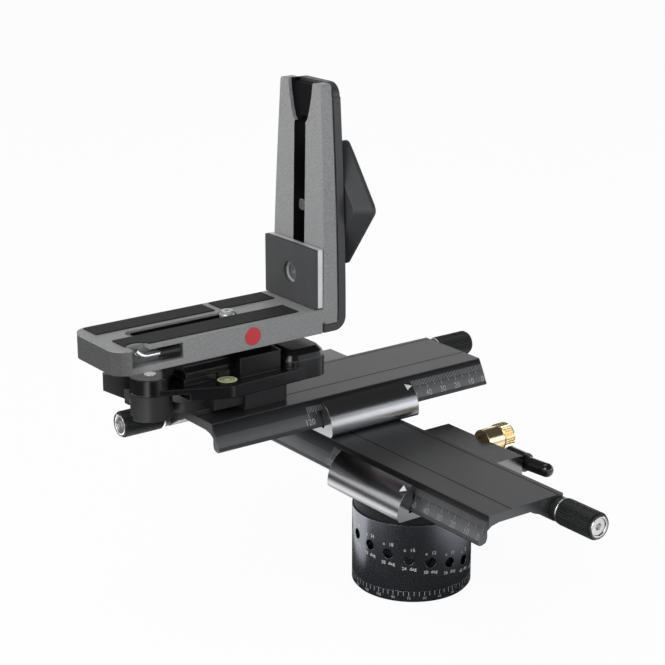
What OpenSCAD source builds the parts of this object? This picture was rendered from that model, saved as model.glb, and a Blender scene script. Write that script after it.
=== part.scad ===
// Panoramic tripod head. Two crossed scale slides stand on an indexing rotator, and the upper
// slide carries a quick release with an L-bracket for the camera.
// Origin: mouth of the tripod thread. +X runs along the upper slide, +Y along the lower one.

/* [Rotator] */
// Outer radius of the scale ring and the index housing
base_r = 30.8; // [29:0.1:36]
// Height of the scale ring above the foot
ring_h = 6.4; // [5.5:0.1:9]
// Height of the index housing
housing_h = 35.6; // [33:0.1:50]
// Wall of the index housing
shell_wall = 5.8; // [4.5:0.1:7]
// Thickness of the housing's top web
web_t = 5; // [4:0.1:7]
// Height of the rough-cast neck
neck_h = 6.5; // [6:0.1:12]
// Diameter of an index hole
hole_d = 5.5; // [4:0.1:6]
// Angle from one index hole to the next
hole_step = 20.5; // [18:0.1:22]
// Diameter of the spindle
spindle_d = 16; // [14:0.1:20]
// Radius of the tripod thread
thread_r = 4.76; // [3.18:0.01:5]

/* [Slides] */
// Length of each scale plate
plate_len = 178; // [160:1:220]
// Width of each scale plate
plate_w = 47; // [45:0.1:56]
// Thickness of the plate's deck
deck_t = 4.8; // [4.2:0.1:5]
// Length of each carriage
carriage_len = 58; // [56:1:70]
// Height from a carriage's foot to the plate's top
slide_h = 18.3; // [18:0.1:24]
// Depth of the rear block behind the plate
block_w = 19.5; // [15:0.1:22]
// Radius of the carriage's front bulge
bulge_r = 17; // [17:0.1:17.6]
// Scale reading of the lower slide
lower_reading = 51; // [5:1:115]
// Scale reading of the upper slide
upper_reading = 55; // [40:1:70]
// Distance from the lower plate's front edge to the rotator's axis
axis_in = 17.9; // [16:0.1:20]
// Distance from the rotator's axis to the upper plate's front edge
upper_front = 59.4; // [56:0.1:64]

/* [Screws and knobs] */
// Diameter of the lead screws
screw_d = 6; // [5:0.1:6.4]
// Diameter of the lead screw knobs
knob_d = 14; // [12:0.1:15]
// Length of the lead screw knobs
knob_len = 24; // [18:0.1:30]
// Distance from the plate's end to a lead screw knob
knob_gap = 4; // [2:0.1:8]
// Diameter of the lock knob's shank
lock_shank_d = 13; // [9:0.1:14]
// Length of the lock knob's shank
lock_shank = 10.9; // [8:0.1:16]
// Diameter of the lock knob's grip
lock_grip_d = 14.6; // [12:0.1:15]
// Length of the lock knob's grip
lock_grip = 6.8; // [6:0.1:12]
// Diameter of the release lever's pin
lever_pin_d = 7.4; // [6:0.1:9]
// Length of the release lever's pin
lever_pin_len = 19; // [12:0.1:24]
// Stroke of the half nut
nut_stroke = 2.2; // [1.5:0.1:2.4]

/* [Quick release] */
// Radius of the release lever's hub
hub_r = 10.9; // [10:0.1:12]
// Distance from the upper plate's end to the hub's axis
hub_out = 21.1; // [20:0.1:24]
// Height of the seat for the bracket's foot above the plate
foot_seat = 22.6; // [22:0.1:26]
// Height of the bracket's foot
foot_h = 12.3; // [11:0.1:15]
// Radius of the bubble level
level_r = 6; // [5:0.1:6.5]

/* [Bracket] */
// Length of the bracket's arm
arm_len = 137.8; // [130:0.1:160]
// Height of the bracket's upright
upright_h = 129; // [125:0.1:150]
// Width of the bracket
bracket_w = 46; // [44:0.1:50]
// Thickness of the arm
arm_t = 13; // [12:0.1:16]
// Thickness of the upright at its foot
upright_t = 14.3; // [13:0.1:18]
// Width of the slots
slot_w = 9.7; // [8:0.1:10.5]
// Distance from the upper plate's end to the upright's back
bracket_reach = 84.9; // [80:0.1:90]
// Diameter of the camera screw
stud_d = 6.35; // [5:0.01:6.5]
// Height of the clamp knob above the bracket's foot
knob_z = 64; // [60:0.5:90]
// Radius of the clamp knob
clamp_knob_r = 34.5; // [28:0.1:36]
// Height of the pads' top over the arm
pad_rise = 0.6; // [0.3:0.05:1]

/* [Fits] */
// Gap between pieces that pass each other
gap = 0.3; // [0.2:0.05:0.4]
// Radial clearance of a running fit
fit = 0.05; // [0.02:0.01:0.1]

/* [Hidden] */
$fn = 48;
over = 1;
foot_t = 1;
core_gap = 0.4;
core_r = base_r - shell_wall - core_gap;
housing_top = ring_h + housing_h;
web_low = housing_top - web_t;
lower_top = housing_top + neck_h + slide_h;
upper_top = lower_top + slide_h;
carriage_half = carriage_len / 2;
upper_mid_x = carriage_half - axis_in;
lower_start = -carriage_half - lower_reading;
upper_start = -carriage_half - upper_reading;
plate_end_x = upper_mid_x - upper_start - plate_len;
mid_y = upper_front + plate_w / 2;
foot_top = foot_seat + foot_h;

// Index rows: one ring of notches for each count of stops in a turn
stops = [72, 36, 24, 18, 15, 12, 10, 8, 6, 4];
row_step = 2.1;
row_top = housing_top - 9.9;
first_hole = 147;
plunger_turn = 51;
plunger_z = row_top - row_step * len(stops);

// Slide section, in millimetres from the plate's front top edge
skirt_drop = 14.2;
rail_drop = 13.5;
lip_out = 2;
screw_in = 2.6;
screw_down = 7.5;
channel_r = screw_d / 2 + 0.6;
channel_x = plate_w - screw_in - channel_r;
screw_x = plate_w - screw_in;
block_back = plate_w + gap + block_w;
block_drop = 1.2;
bearing_t = 4;
screw_r = screw_d / 2;

// Lock and half nut
lock_side = 3;
lock_down = 4;
lock_stud_r = 2;
shoe_r = 1.9;
shoe_len = 3.9;
lock_bore_x = plate_w + gap + shoe_len;
nut_low = 24;
nut_high = 8;
nut_turn = 20;
nut_half_h = 3.2;
nut_back = plate_w + gap + 4;
nut_stem_r = 2;
nut_stem_in = 3;
lever_r = 5.1;
lever_x = block_back + gap;
lever_out = 26;
lever_in = 13;
pin_stud_r = 1.5;
pin_stud_in = 3.4;

// Heads of the lead screws, in cups at the knobs' ends
cup_r = 4.7;
cup_depth = 2.2;
head_r = 4.3;
head_sunk = 0.6;
socket_r = 2;
socket_depth = 2;

// Bolts
bolt_r = 2;
bolt_head_r = 3.5;
bolt_head_h = 3;
neck_bolt_r = base_r - 10.8;
neck_bolt_bite = 5;

// Quick release body: bubble level and tall end
level_x = 13.9;
level_y = -17.3;
end_low = 12.2;
end_x = 74;
end_r = 8;
end_half = 24;
fin_low = 9.5;
fin_high = 24;

// Bracket section, from the upright's outer back corner
corner_r = 9;
band_t = 4.4;
groove_w = 1.1;
groove_in = 0.8;
top_taper = 5.4;
face_lean = 2.2;
channel_w = slot_w + 4.3;
slot_low = 18;
mouth_low = upright_h - 21;
slot_top = mouth_low - 2;
scoop_depth = 2.9;
scoop_dip = 1.6;
bar_t = 4;
band_leg = 14;
arm_slot_left = 18.8 - arm_len;
arm_slot_right = -54;
stud_x = arm_slot_right - 5.2;
stud_rise = 2;
badge_r = 4.6;
carrier_low = 0.3;
key_x = 18.3 - arm_len;
key_y = 2.75 - bracket_w / 2;
key_bend = 8;
key_z = 7.7;
key_r = 1.75;
key_floor = 3.4;
sleeve_low_r = 2.4;
sleeve_high_r = 3.1;
clamp_low = 0.7;
clamp_h = 31.3;
clamp_z = 28.8;
clamp_hole_r = 5.75;
pad_t = 2;
plate_back_t = 3;
clamp_floor = 1;
clamp_head_t = 1.4;
clamp_x = -upright_t - gap;

// Solids along the axes
module rod_x(x0, x1, r) {
    translate([x0, 0, 0])
    rotate([0, 90, 0])
    cylinder(h = x1 - x0, r = r);
}

module rod_y(y0, y1, r) {
    translate([0, y0, 0])
    rotate([-90, 0, 0])
    cylinder(h = y1 - y0, r = r);
}

module rod_z(z0, z1, r) {
    translate([0, 0, z0])
    cylinder(h = z1 - z0, r = r);
}

module box(low, high) {
    translate(low)
    cube(high - low);
}

module section_y(y0, y1, points) {
    translate([0, y1, 0])
    rotate([90, 0, 0])
    linear_extrude(y1 - y0)
    polygon(points);
}

module section_x(x0, x1) {
    translate([x0, 0, 0])
    rotate([90, 0, 90])
    linear_extrude(x1 - x0)
    children();
}

module at_polar(turn, z) {
    rotate([0, 0, turn])
    translate([0, 0, z])
    children();
}

// Grip outline: a circle with small notches round its rim
module fluted(r, flutes, depth) {
    difference() {
        circle(r);
        for (i = [0 : flutes - 1])
            rotate([0, 0, i * 360 / flutes])
            translate([r, 0])
            circle(depth, $fn = 4);
    }
}

module in_lower() {
    translate([-axis_in, 0, lower_top])
    children();
}

module in_upper() {
    translate([upper_mid_x, upper_front, upper_top])
    rotate([0, 0, 90])
    children();
}

module in_release() {
    translate([plate_end_x, mid_y, upper_top])
    children();
}

module in_bracket() {
    translate([plate_end_x + bracket_reach, mid_y, upper_top + foot_top])
    children();
}

function arc(cx, cy, r, a0, a1, steps) =
    [for (i = [0 : steps]) let (a = a0 + (a1 - a0) * i / steps) [cx + r * cos(a), cy + r * sin(a)]];

// Rotator
module base_disc() {
    color("#1b1c1e")
    difference() {
        union() {
            rod_z(0, foot_t, base_r - 1);
            rod_z(0, ring_h, core_r - 0.2);
        }
        rod_z(-over, ring_h + over, spindle_d / 2);
        base_bolt_places() {
            rod_z(-over, bolt_head_h + gap, bolt_head_r + 0.1);
            rod_z(-over, ring_h + over, bolt_r + 0.1);
        }
    }
}

module base_bolt_places() {
    for (i = [0 : 2])
        rotate([0, 0, 30 + 120 * i])
        translate([core_r * 0.74, 0, 0])
        children();
}

module base_screws() {
    color("#9a9a9c")
    base_bolt_places()
    difference() {
        union() {
            rod_z(gap, bolt_head_h + gap, bolt_head_r);
            rod_z(gap, ring_h + 8, bolt_r);
        }
        translate([0, 0, -over])
        cylinder(h = gap + over + 1.5, r = 1.6, $fn = 6);
    }
}

module tripod_bush() {
    color("#8c8c8e")
    difference() {
        rod_z(0, ring_h + 3, spindle_d / 2);
        rod_z(-over, ring_h + 3 + over, thread_r);
    }
}

module index_core() {
    rows_low = plunger_z + row_step / 2;
    color("#3a3b3d")
    difference() {
        union() {
            rod_z(ring_h, rows_low, core_r);
            for (k = [0 : len(stops) - 1])
                translate([0, 0, row_top - row_step * (k + 0.5)])
                linear_extrude(row_step)
                index_row(stops[k]);
            rod_z(row_top + row_step / 2, web_low - 1.4, core_r);
        }
        rod_z(ring_h - over, web_low + over, spindle_d / 2);
        base_bolt_places()
        rod_z(ring_h - over, ring_h + 8, bolt_r);
    }
}

module index_row(count) {
    difference() {
        circle(core_r);
        for (i = [0 : count - 1])
            rotate([0, 0, first_hole + i * 360 / count])
            translate([core_r, 0])
            circle(0.9, $fn = 6);
    }
}

module spindle() {
    color("#a5a5a8")
    rod_z(ring_h + 3, housing_top + neck_h - 1, spindle_d / 2);
}

module thrust_washer() {
    color("#b08d4a")
    difference() {
        rod_z(web_low - 1.4, web_low - gap, core_r - 8);
        rod_z(web_low - 2, web_low + over, spindle_d / 2);
    }
}

module spindle_nut() {
    color("#7d7d80")
    difference() {
        rod_z(housing_top + gap, housing_top + 4.3, spindle_d / 2 + 5);
        rod_z(housing_top, housing_top + 5, spindle_d / 2);
    }
}

module scale_ring() {
    color("#1d1e20")
    difference() {
        rod_z(foot_t + 0.2, ring_h - 0.15, base_r);
        rod_z(0, ring_h, core_r - 0.2 + fit);
        at_polar(-78.7, ring_h / 2 + 0.3)
        rod_x(core_r - over, base_r + over, 1.8);
    }
}

module ring_grub() {
    color("#2a2a2c")
    at_polar(-78.7, ring_h / 2 + 0.3)
    difference() {
        rod_x(core_r + 0.6, base_r - 0.6, 1.8);
        translate([base_r - 2, 0, 0])
        rotate([0, 90, 0])
        cylinder(h = 2, r = 0.9, $fn = 6);
    }
}

module index_housing() {
    color("#1b1c1f")
    difference() {
        rod_z(ring_h + 0.15, housing_top, base_r);
        rod_z(0, web_low, base_r - shell_wall);
        rod_z(0, housing_top + over, spindle_d / 2 + fit);
        for (k = [0 : len(stops) - 1])
            at_polar(first_hole + hole_step * k, row_top - row_step * k)
            rod_x(base_r - shell_wall - over, base_r + over, hole_d / 2);
        at_polar(plunger_turn, plunger_z)
        rod_x(base_r - shell_wall - over, base_r + over, hole_d / 2);
        neck_bolt_places() {
            rod_z(web_low - over, web_low + bolt_head_h + gap, bolt_head_r + 0.1);
            rod_z(web_low, housing_top + over, bolt_r);
        }
    }
}

module neck_bolt_places() {
    for (i = [0 : 2])
        rotate([0, 0, 120 * i])
        translate([neck_bolt_r, 0, 0])
        children();
}

module neck_bolts() {
    color("#8a8a8c")
    neck_bolt_places() {
        rod_z(web_low + gap, web_low + bolt_head_h + gap, bolt_head_r);
        rod_z(web_low + gap, housing_top + neck_h + neck_bolt_bite, bolt_r);
    }
}

module neck_collar() {
    color("#232426")
    difference() {
        rod_z(housing_top, housing_top + neck_h, base_r - 0.8);
        rod_z(housing_top - over, housing_top + neck_h + over, spindle_d / 2 + 6);
        neck_bolt_places()
        rod_z(housing_top - over, housing_top + neck_h + over, bolt_r);
    }
}

module plunger_sleeve() {
    color("#6f7072")
    at_polar(plunger_turn, plunger_z)
    difference() {
        union() {
            rod_x(base_r - shell_wall + gap, base_r + 8, hole_d / 2);
            rod_x(base_r + 0.1, base_r + 4, hole_d / 2 + 1.6);
        }
        rod_x(base_r - shell_wall - over, base_r + 9, hole_d / 2 - 1.2);
    }
}

module index_plunger() {
    color("#c4c4c6")
    at_polar(plunger_turn, plunger_z)
    union() {
        rod_x(core_r + gap, base_r + 10, hole_d / 2 - 1.2 - fit);
        translate([base_r + 8 + gap, 0, 0])
        rotate([90, 0, 90])
        linear_extrude(9)
        fluted(5.2, 24, 0.5);
    }
}

// Slide section of a plate: deck, sloping front skirt, rear rail with the screw channel
function plate_section() = [
    [0, 0], [13.4, 0], [13.7, -0.4], [14, 0],
    [plate_w - 3.3, 0], [plate_w - 3, -0.4], [plate_w - 2.7, 0], [plate_w, 0],
    [plate_w, channel_r - screw_down], [channel_x, channel_r - screw_down],
    [channel_x, -channel_r - screw_down], [plate_w + lip_out, -channel_r - screw_down],
    [plate_w + lip_out, -rail_drop], [plate_w - 5.5, -rail_drop],
    [plate_w - 8, -11.9], [plate_w - 15.3, -7.4], [plate_w - 19, -deck_t - 1.2],
    [plate_w - 21, -deck_t], [6, -deck_t], [1.5, -deck_t - 0.9], [-1.2, -7.5], [-1.1, -10.9],
    [-1.9, -skirt_drop + 0.9], [-4.8, -skirt_drop], [-6.4, -skirt_drop + 0.4],
    [-7, -skirt_drop + 1.2], [-6.1, -11.6], [-3.5, -6]];

module plate(start) {
    section_y(start, start + plate_len, plate_section());
}

// Section of a carriage: bulge in front of the skirt, guide under the deck, block behind
function carriage_section() =
    let (low = gap * 1.2, corner_r = 2.5, cx = 2.2, cz = -15.3,
         drop = slide_h - corner_r + cz,
         reach = bulge_r - corner_r,
         meet = 180 + asin(drop / reach),
         kx = cx + reach * cos(meet))
    concat(
        arc(cx, cz, bulge_r, 180 - acos(7.7 / bulge_r), meet, 36),
        arc(kx, -slide_h + corner_r, corner_r, meet + 10, 270, 8),
        [[block_back - 1, -slide_h], [block_back, -slide_h + 1], [block_back, -block_drop - 1],
         [block_back - 1, -block_drop], [plate_w + gap, -block_drop],
         [plate_w + gap, -channel_r - screw_down + gap],
         [plate_w + lip_out + gap, -channel_r - screw_down + gap],
         [plate_w + lip_out + gap, -rail_drop - gap], [plate_w - 5.5, -rail_drop - gap],
         [plate_w - 8, -11.9 - low], [plate_w - 15.3, -7.4 - low],
         [plate_w - 19, -deck_t - 1.2 - low], [plate_w - 21, -deck_t - low],
         [6, -deck_t - low], [1.6, -deck_t - 0.9 - low], [-1.1 + low, -7.7],
         [-1.1 + low, -skirt_drop - gap], [-7 - gap - 0.2, -skirt_drop - gap],
         [-7 - gap - 0.2, -skirt_drop + 1.3], [-6.1 - low, -11.5], [-5.2, -8.7], [-5.2, -0.7]]);

// side is -1 where the release lever points to the scale's reading end, 1 where it points away
module carriage(side) {
    difference() {
        section_y(-carriage_half, carriage_half, carriage_section());
        translate([screw_x, 0, -screw_down])
        rod_y(-carriage_half - over, carriage_half + over, screw_r + gap);
        translate([0, lock_side, -lock_down]) {
            rod_x(plate_w - over, lock_bore_x + over, shoe_r);
            rod_x(lock_bore_x, block_back + over, lock_stud_r + fit);
        }
        mirror([0, side > 0 ? 1 : 0, 0])
        translate([0, 0, -screw_down]) {
            box([plate_w, -nut_low - gap, -nut_half_h - gap],
                [nut_back + nut_stroke + gap, -nut_high + gap, nut_half_h + gap]);
            translate([0, -nut_turn, 0])
            rod_x(nut_back, block_back + over, nut_stem_r + fit);
        }
    }
}

module lower_carriage() {
    color("#26272a")
    difference() {
        in_lower()
        carriage(-1);
        neck_bolt_places()
        rod_z(lower_top - slide_h - over, lower_top - slide_h + neck_bolt_bite, bolt_r);
    }
}

module upper_carriage() {
    color("#26272a")
    difference() {
        in_upper()
        carriage(1);
        carriage_bolt_places()
        rod_z(-over, 8, bolt_r);
    }
}

// Four screws hold the upper carriage on the lower plate's deck
module carriage_bolt_places() {
    for (x = [8, 22], y = [8, 32])
        translate([x - axis_in, upper_front + y, lower_top])
        children();
}

module carriage_bolts() {
    color("#8a8a8c")
    carriage_bolt_places() {
        rod_z(-deck_t + 0.2, -deck_t + 2.4, bolt_head_r);
        rod_z(-deck_t + 0.2, 8, bolt_r);
    }
}

module lock_shoe() {
    translate([0, lock_side, -lock_down])
    rod_x(plate_w + gap, lock_bore_x - gap, shoe_r);
}

module lower_lock_shoe() {
    color("#b08d4a")
    in_lower()
    lock_shoe();
}

module upper_lock_shoe() {
    color("#b08d4a")
    in_upper()
    lock_shoe();
}

module lower_plate() {
    color("#3b3c3f")
    difference() {
        in_lower()
        plate(lower_start);
        carriage_bolt_places() {
            rod_z(-deck_t - over, -deck_t + 2.4, bolt_head_r);
            rod_z(-deck_t - over, over, bolt_r);
        }
    }
}

module upper_plate() {
    color("#3b3c3f")
    in_upper()
    plate(upper_start);
}

module bearings(start) {
    for (y = [start, start + plate_len - bearing_t])
        translate([0, y, -screw_down])
        difference() {
            box([channel_x, 0, -channel_r], [plate_w, bearing_t, channel_r]);
            translate([screw_x, 0, 0])
            rod_y(-over, bearing_t + over, screw_r + fit);
        }
}

module lower_bearings() {
    color("#4a4b4e")
    in_lower()
    bearings(lower_start);
}

module upper_bearings() {
    color("#4a4b4e")
    in_upper()
    bearings(upper_start);
}

module lead_screw(start) {
    reach = knob_gap + knob_len - head_sunk;
    head_t = cup_depth - head_sunk;
    translate([screw_x, 0, -screw_down])
    difference() {
        union() {
            rod_y(start - reach, start + plate_len + reach, screw_r);
            for (y = [start - reach, start + plate_len + reach - head_t])
                rod_y(y, y + head_t, head_r);
        }
        for (y = [start - reach - over, start + plate_len + reach - socket_depth])
            translate([0, y, 0])
            rotate([-90, 0, 0])
            cylinder(h = socket_depth + over, r = socket_r, $fn = 6);
    }
}

// Grip on one end of a lead screw, its collar towards the plate
module screw_knob(from, way) {
    end = knob_gap + knob_len;
    rim = 1.2;
    translate([screw_x, from, -screw_down])
    rotate([way > 0 ? -90 : 90, 0, 0])
    difference() {
        union() {
            rod_z(gap, knob_gap + rim, knob_d / 2 - 0.6);
            translate([0, 0, knob_gap + rim])
            linear_extrude(knob_len - 2 * rim)
            fluted(knob_d / 2, 36, 0.45);
            rod_z(end - rim, end, knob_d / 2 - 0.8);
        }
        rod_z(0, end + over, screw_r);
        rod_z(end - cup_depth, end + over, cup_r);
    }
}

module lower_lead_screw() {
    color("#9fa0a2")
    in_lower()
    lead_screw(lower_start);
}

module lower_near_knob() {
    color("#202123")
    in_lower()
    screw_knob(lower_start, -1);
}

module lower_far_knob() {
    color("#202123")
    in_lower()
    screw_knob(lower_start + plate_len, 1);
}

module upper_lead_screw() {
    color("#9fa0a2")
    in_upper()
    lead_screw(upper_start);
}

module upper_right_knob() {
    color("#202123")
    in_upper()
    screw_knob(upper_start, -1);
}

module upper_left_knob() {
    color("#202123")
    in_upper()
    screw_knob(upper_start + plate_len, 1);
}

module lock_knob() {
    grip_x = lever_x + lock_shank;
    translate([0, lock_side, -lock_down])
    union() {
        rod_x(lock_bore_x, lever_x + 1, lock_stud_r);
        rod_x(lever_x, grip_x, lock_shank_d / 2);
        translate([grip_x, 0, 0])
        rotate([90, 0, 90])
        linear_extrude(lock_grip - 0.8)
        fluted(lock_grip_d / 2, 32, 0.6);
        rod_x(grip_x + lock_grip - 0.8, grip_x + lock_grip, lock_grip_d / 2 - 0.8);
    }
}

module lower_lock_knob() {
    color("#c9a24a")
    in_lower()
    lock_knob();
}

module upper_lock_knob() {
    color("#c9a24a")
    in_upper()
    lock_knob();
}

module lever_arm(side) {
    mirror([0, side > 0 ? 1 : 0, 0])
    difference() {
        translate([lever_x + lever_r, 0, -screw_down])
        rod_y(-lever_out, -lever_in, lever_r);
        translate([0, -nut_turn, -screw_down])
        rod_x(lever_x - over, lever_x + nut_stem_in + nut_stroke + gap, nut_stem_r + fit);
        lever_pin_place()
        rod_z(-pin_stud_in, over, pin_stud_r);
    }
}

module lever_pin_place() {
    translate([lever_x + lever_r, -lever_out, -screw_down])
    rotate([87, 0, 0])
    children();
}

module lever_pin(side) {
    pin_r = lever_pin_d / 2;
    mirror([0, side > 0 ? 1 : 0, 0])
    lever_pin_place() {
        rod_z(-pin_stud_in, 2, pin_stud_r);
        rod_z(0.5, lever_pin_len - pin_r, pin_r);
        translate([0, 0, lever_pin_len - pin_r])
        sphere(pin_r);
    }
}

module lower_lever() {
    color("#1c1c1e")
    in_lower()
    lever_arm(-1);
}

module lower_lever_pin() {
    color("#1c1c1e")
    in_lower()
    lever_pin(-1);
}

module upper_lever() {
    color("#1c1c1e")
    in_upper()
    lever_arm(1);
}

module upper_lever_pin() {
    color("#1c1c1e")
    in_upper()
    lever_pin(1);
}

// Nut segment that a lever draws away from the lead screw
module half_nut(side) {
    nose_x = screw_x + 0.8;
    mirror([0, side > 0 ? 1 : 0, 0])
    translate([0, 0, -screw_down])
    union() {
        difference() {
            box([nose_x, -nut_low, -nut_half_h + 0.5], [plate_w + 1, -nut_high, nut_half_h - 0.5]);
            translate([screw_x, 0, 0])
            rod_y(-nut_low - over, -nut_high + over, screw_r + fit);
        }
        box([plate_w + gap + 0.2, -nut_low, -nut_half_h], [nut_back, -nut_high, nut_half_h]);
        translate([0, -nut_turn, 0])
        rod_x(nut_back - over, lever_x + nut_stem_in, nut_stem_r);
    }
}

module lower_half_nut() {
    color("#b08d4a")
    in_lower()
    half_nut(-1);
}

module upper_half_nut() {
    color("#b08d4a")
    in_upper()
    half_nut(1);
}

// Quick release, from the upper plate's end, its middle line and its top
module release_base() {
    color("#55565a")
    in_release()
    union() {
        box([24.9, -17, 0], [50.9, 17, 9.9]);
        box([7.4, -15, 2.9], [25.9, 15, 9.7]);
        box([-1, -8, 2.3], [8.4, 8, 7.5]);
        translate([-1, 0, 0])
        rod_z(2.3, 7.5, 8);
    }
}

module release_plan() {
    hull() {
        translate([-hub_out, 0])
        circle(hub_r - 0.6);
        release_shoulders();
    }
    hull() {
        release_shoulders();
        release_corners(0.4);
    }
}

module release_shoulders() {
    translate([level_x, level_y])
    circle(level_r + 3);
    translate([10, 14])
    circle(10);
}

// Rounded corners of the body's end, drawn in by an inset
module release_corners(inset) {
    for (y = [-1, 1])
        translate([end_x - end_r, y * (end_half - end_r)])
        circle(end_r - inset);
}

module release_body() {
    color("#18191b")
    in_release()
    difference() {
        union() {
            translate([0, 0, 15.9])
            linear_extrude(3)
            release_plan();
            translate([0, 0, 12.2])
            linear_extrude(3.7)
            intersection() {
                release_plan();
                translate([-hub_out + hub_r + 2, -40])
                square([100, 80]);
            }
            translate([-hub_out, 0, 0])
            rod_z(15.9, 24.5, hub_r);
            box([26, -14, 9.9], [50, 14, 12.2]);
            box([-9, -13, 18.9], [47, 10, foot_seat]);
            release_end();
            fixed_jaw();
        }
        translate([-hub_out, 0, 0])
        rod_z(0, 30, 3);
        translate([level_x, level_y, 0])
        rod_z(15.9, 25, level_r);
    }
}

// Tall end of the body with a rounded rim: pairs of inset and height
module release_end() {
    translate([0, 0, end_low])
    hull()
    for (layer = [[0, 10.6], [1.3, 13.4], [4, 16]])
        linear_extrude(layer[1]) {
            release_corners(layer[0]);
            for (y = [-1, 1])
                translate([54, y * (end_half - 6)])
                circle(6 - layer[0]);
        }
}

module fixed_jaw() {
    section_x(21, 46)
    polygon([[-19, 18.9], [-13.3, 18.9], [-13.3, foot_seat + 3], [-10.8, foot_seat + 6],
        [-10.8, foot_seat + 7.6], [-19, foot_seat + 7]]);
}

module release_pivot() {
    color("#7d7d80")
    in_release()
    translate([-hub_out, 0, 0]) {
        rod_z(0.6, 24.8, 3);
        rod_z(0.6, 2, 5);
    }
}

module level_vial() {
    color("#b7c94a")
    in_release()
    translate([level_x, level_y, 0])
    rod_z(15.9, 19.3, level_r);
}

// Hub with its curved finger tab
module release_lever() {
    tab = concat(arc(-hub_out, 52, 42.3, 262, 243, 8), arc(-hub_out, 52, 37.8, 243, 262, 8));
    color("#3c3d40")
    in_release()
    difference() {
        union() {
            translate([-hub_out, 0, 0])
            rod_z(2.3, 15.6, hub_r);
            translate([0, 0, fin_low])
            linear_extrude(fin_high - fin_low)
            polygon(tab);
            translate([0, 0, 7])
            linear_extrude(8.6)
            polygon([[-hub_out, 0], [-31.5, 12], [-26.6, 14], [-hub_out + 6, 8]]);
        }
        translate([-hub_out, 0, 0])
        rod_z(0, 20, 3 + fit);
        section_y(0, 40, [[-60, 0], [-29, 0], [-29, fin_low], [-40, 15.5], [-60, 15.5]]);
    }
}

module release_jaw() {
    color("#4a4b4e")
    in_release()
    section_x(-4, 44)
    polygon([[19, 19.2], [13.3, 19.2], [13.3, foot_seat + 3], [10.8, foot_seat + 6],
        [10.8, foot_seat + 7.6], [19, foot_seat + 7]]);
}

module bracket_foot() {
    color("#1f2022")
    in_release()
    difference() {
        section_x(-8, 46)
        polygon([[-13, foot_seat], [13, foot_seat], [13, foot_seat + 2.7], [10.5, foot_seat + 5.7],
            [10.5, foot_top], [-10.5, foot_top], [-10.5, foot_seat + 5.7], [-13, foot_seat + 2.7]]);
        box([-2, -5, foot_seat - over], [32, 5, foot_top + over]);
    }
}

// Half width of the upright at a height above the bracket's foot
function half_width(z) =
    bracket_w / 2 - (z > arm_t ? top_taper * pow((z - arm_t) / (upright_h - arm_t), 1.6) : 0);

function upright_outline(top, corner) =
    let (steps = 10,
         w = half_width(top),
         side = [for (i = [0 : steps])
             let (z = arm_t + (top - corner - arm_t) * i / steps) [half_width(z), z]])
    concat([[bracket_w / 2, 0]], side, arc(w - corner, top - corner, corner, 0, 90, 6),
        arc(corner - w, top - corner, corner, 90, 180, 6),
        [for (i = [0 : steps]) [-side[steps - i][0], side[steps - i][1]]],
        [[-bracket_w / 2, 0]]);

module arm_outline() {
    difference() {
        union() {
            translate([-arm_len + corner_r, -bracket_w / 2])
            square([arm_len - corner_r - band_t - groove_w, bracket_w]);
            translate([-arm_len, -bracket_w / 2 + corner_r])
            square([corner_r + 1, bracket_w - 2 * corner_r]);
            for (y = [-1, 1])
                translate([-arm_len + corner_r, y * (bracket_w / 2 - corner_r)])
                circle(corner_r);
        }
        slot_outline(arm_slot_left, arm_slot_right, slot_w - 1);
    }
}

module slot_outline(left, right, wide) {
    translate([left + wide / 2, -wide / 2])
    square([right - left - wide, wide]);
    for (x = [left + wide / 2, right - wide / 2])
        translate([x, 0])
        circle(wide / 2);
}

module bracket() {
    color("#6d6e70")
    in_bracket()
    difference() {
        union() {
            linear_extrude(arm_t)
            arm_outline();
            section_x(-upright_t, -band_t - groove_w)
            polygon(upright_outline(upright_h, 1.5));
            groove_core();
        }
        slider_channel();
        pad_recess();
        front_lean();
        upright_slot();
        scoop();
        band_notch();
        key_recess();
        badge_place()
        rod_y(-over, 0.5, badge_r);
    }
}

module groove_core() {
    intersection() {
        section_x(-band_t - groove_w - 0.2, -band_t)
        groove_outline();
        box([-30, -40, 6], [0, 40, upright_h - 7]);
    }
}

module groove_outline() {
    polygon([[-half_width(0) + groove_in, 0], [half_width(0) - groove_in, 0],
        [half_width(0) - groove_in, arm_t], [half_width(upright_h / 2) - groove_in, upright_h / 2],
        [half_width(upright_h) - groove_in, upright_h],
        [groove_in - half_width(upright_h), upright_h],
        [groove_in - half_width(upright_h / 2), upright_h / 2],
        [groove_in - half_width(0), arm_t]]);
}

// Wide channel under the arm's slot, for the camera screw's slider
module slider_channel() {
    box([arm_slot_left - 1, -9, -over], [arm_slot_right + 3, 9, 5]);
}

// The upright's front face leans back a little
module front_lean() {
    translate([-upright_t, 0, arm_t])
    rotate([0, atan(face_lean / (upright_h - arm_t)), 0])
    box([-10, -40, 0], [0, 40, upright_h]);
}

module upright_slot() {
    wide = slot_w / 2;
    box([-40, -wide, slot_low + wide], [20, wide, slot_top]);
    for (z = [slot_low + wide, slot_top])
        translate([0, 0, z])
        rod_x(-40, 20, wide);
}

// Shallow scoop above the slot: pairs of height and half width, and a dip in its top edge
module scoop() {
    wide = slot_w / 2;
    side = [[0, wide], [2, wide + 1.6], [7, wide + 3.3], [14, wide + 4.9], [22, wide + 6]];
    last = len(side) - 1;
    section_x(-upright_t - over, -upright_t + face_lean + scoop_depth)
    polygon(concat([for (s = side) [s[1], mouth_low + s[0]]],
        [for (i = [0 : last]) [-side[last - i][1], mouth_low + side[last - i][0]]]));
    box([-upright_t, -wide - 5, upright_h - scoop_dip],
        [-band_t - groove_w + 0.2, wide + 5, upright_h + over]);
}

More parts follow.
